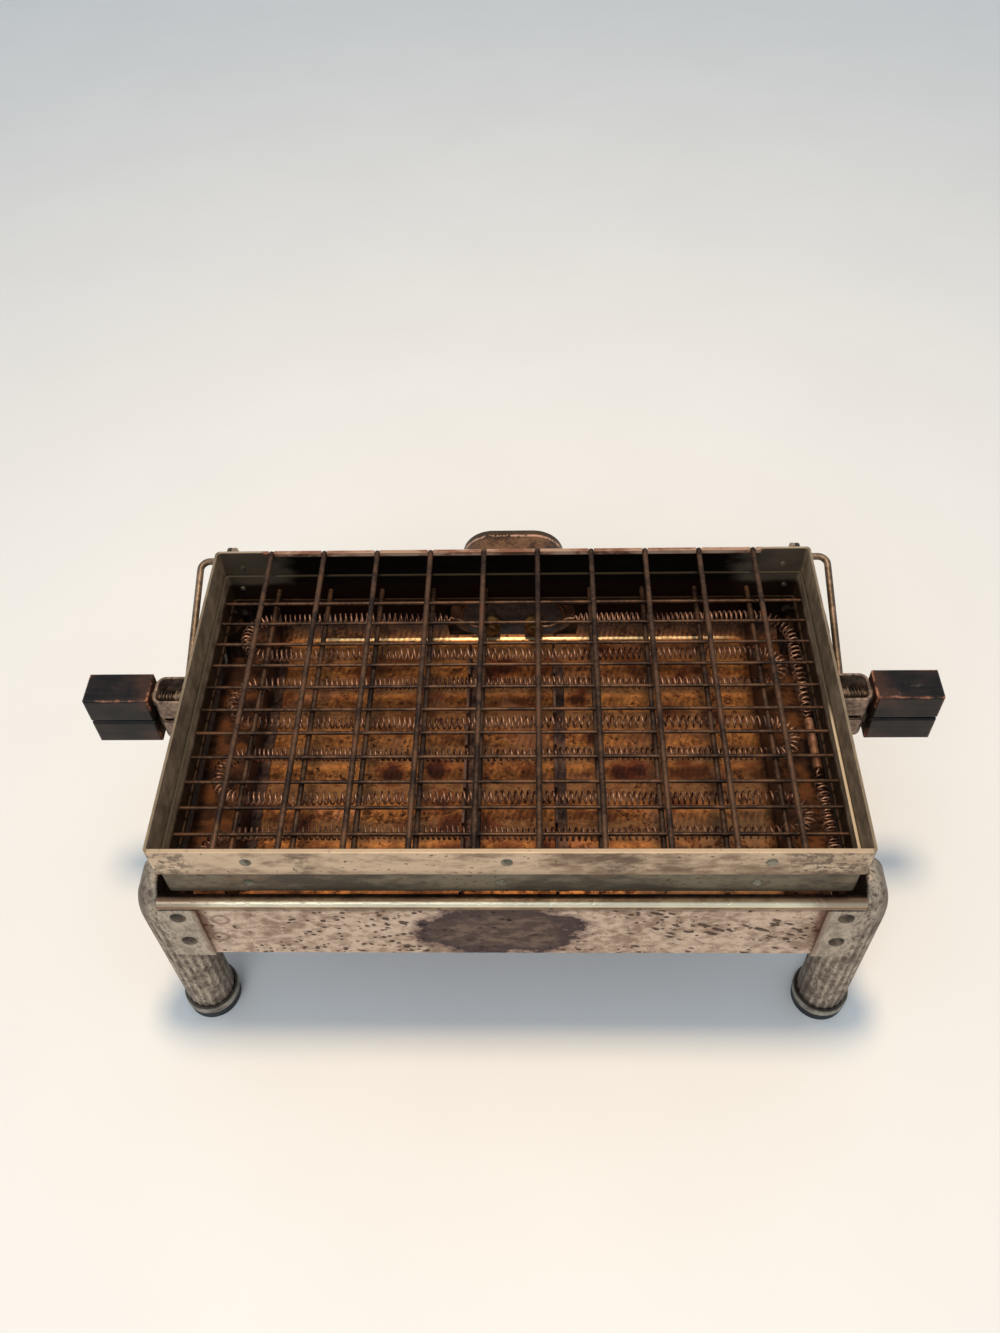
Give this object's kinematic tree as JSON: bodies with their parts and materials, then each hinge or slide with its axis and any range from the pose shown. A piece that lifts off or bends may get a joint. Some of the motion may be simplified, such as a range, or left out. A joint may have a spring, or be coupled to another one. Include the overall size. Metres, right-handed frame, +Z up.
{
  "type": "electric flip toaster",
  "caption": "open electric toaster: wire cage for bread that swings over on a bail and opens like a book, above a coiled heating element in a base on fluted legs",
  "frame": {"origin": "on the table, under the middle of the whole object's bounding box, plug shroud and handles included", "axes": "+X to the right along the long side, +Y from the front to the plug inlet at the back, +Z up"},
  "size_m": [0.327, 0.1916, 0.132],
  "materials": {
    "base_nickel": "worn nickel plate, pinkish beige with dark pits",
    "leg_nickel": "dull fluted nickel plate",
    "cage_nickel": "dull warm nickel plate with brown stains",
    "wire_bronze": "heat-darkened steel wire",
    "bail_steel": "dark bare steel wire",
    "reflector_rust": "heat-browned and rusted steel sheet",
    "support_steel": "heat-darkened steel strip",
    "element_wire": "oxidised resistance wire",
    "copper_brown": "browned copper-coloured metal",
    "brass": "dull brass",
    "insulator": "matt white ceramic",
    "handle_black": "black lacquered wood, edges worn red-brown",
    "foot_black": "matt black"
  },
  "bodies": {
    "base": {"front_panel": "base_nickel", "back_panel": "base_nickel", "left_panel": "base_nickel", "right_panel": "base_nickel", "leg_front_left": "leg_nickel", "foot_ring_front_left": "leg_nickel", "foot_pad_front_left": "foot_black", "leg_front_right": "leg_nickel", "foot_ring_front_right": "leg_nickel", "foot_pad_front_right": "foot_black", "leg_back_left": "leg_nickel", "foot_ring_back_left": "leg_nickel", "foot_pad_back_left": "foot_black", "leg_back_right": "leg_nickel", "foot_ring_back_right": "leg_nickel", "foot_pad_back_right": "foot_black", "leg_rivets": "leg_nickel", "bail_bushes": "brass", "reflector": "reflector_rust", "support_left": "support_steel", "support_mid_left": "support_steel", "support_mid_right": "support_steel", "support_right": "support_steel", "heating_coil": "element_wire", "coil_sleeve": "copper_brown", "plug_shroud": "copper_brown", "inlet_block": "insulator", "inlet_pin_left": "brass", "inlet_pin_right": "brass", "inlet_nuts": "brass"},
    "bail": {"bail": "bail_steel", "bail_caps": "brass"},
    "lower_basket": {"lower_frame": "cage_nickel", "lower_thick_wires": "wire_bronze", "lower_thin_wires": "wire_bronze", "lower_ears": "cage_nickel", "lower_rivets": "cage_nickel", "lower_strap_left": "cage_nickel", "lower_strap_right": "cage_nickel", "lower_bolt_left": "bail_steel", "lower_bolt_right": "bail_steel", "lower_spring_left": "bail_steel", "lower_spring_right": "bail_steel", "lower_block_left": "handle_black", "lower_block_right": "handle_black"},
    "upper_basket": {"upper_frame": "cage_nickel", "upper_wires": "wire_bronze", "upper_ears": "cage_nickel", "upper_rivets": "cage_nickel", "upper_strap_left": "cage_nickel", "upper_strap_right": "cage_nickel", "upper_bolt_left": "bail_steel", "upper_bolt_right": "bail_steel", "upper_spring_left": "bail_steel", "upper_spring_right": "bail_steel", "upper_block_left": "handle_black", "upper_block_right": "handle_black"}
  },
  "joints": [
    {"name": "bail_swing", "type": "hinge", "parent": "base", "child": "bail", "pos_m": [0, -0.0187, 0.09], "axis": [1, 0, 0], "range_deg": [0, 142.71]},
    {"name": "cage_turn", "type": "hinge", "parent": "bail", "child": "lower_basket", "pos_m": [0, 0.0628, 0.1175], "axis": [1, 0, 0], "range_deg": [-322.8, 0]},
    {"name": "basket_open", "type": "hinge", "parent": "lower_basket", "child": "upper_basket", "pos_m": [0, 0.0628, 0.1175], "axis": [1, 0, 0], "range_deg": [-180, 0]}
  ],
  "couplings": [
    {"joint": "cage_turn", "follows": "bail_swing", "ratio": -2.2613}
  ]
}
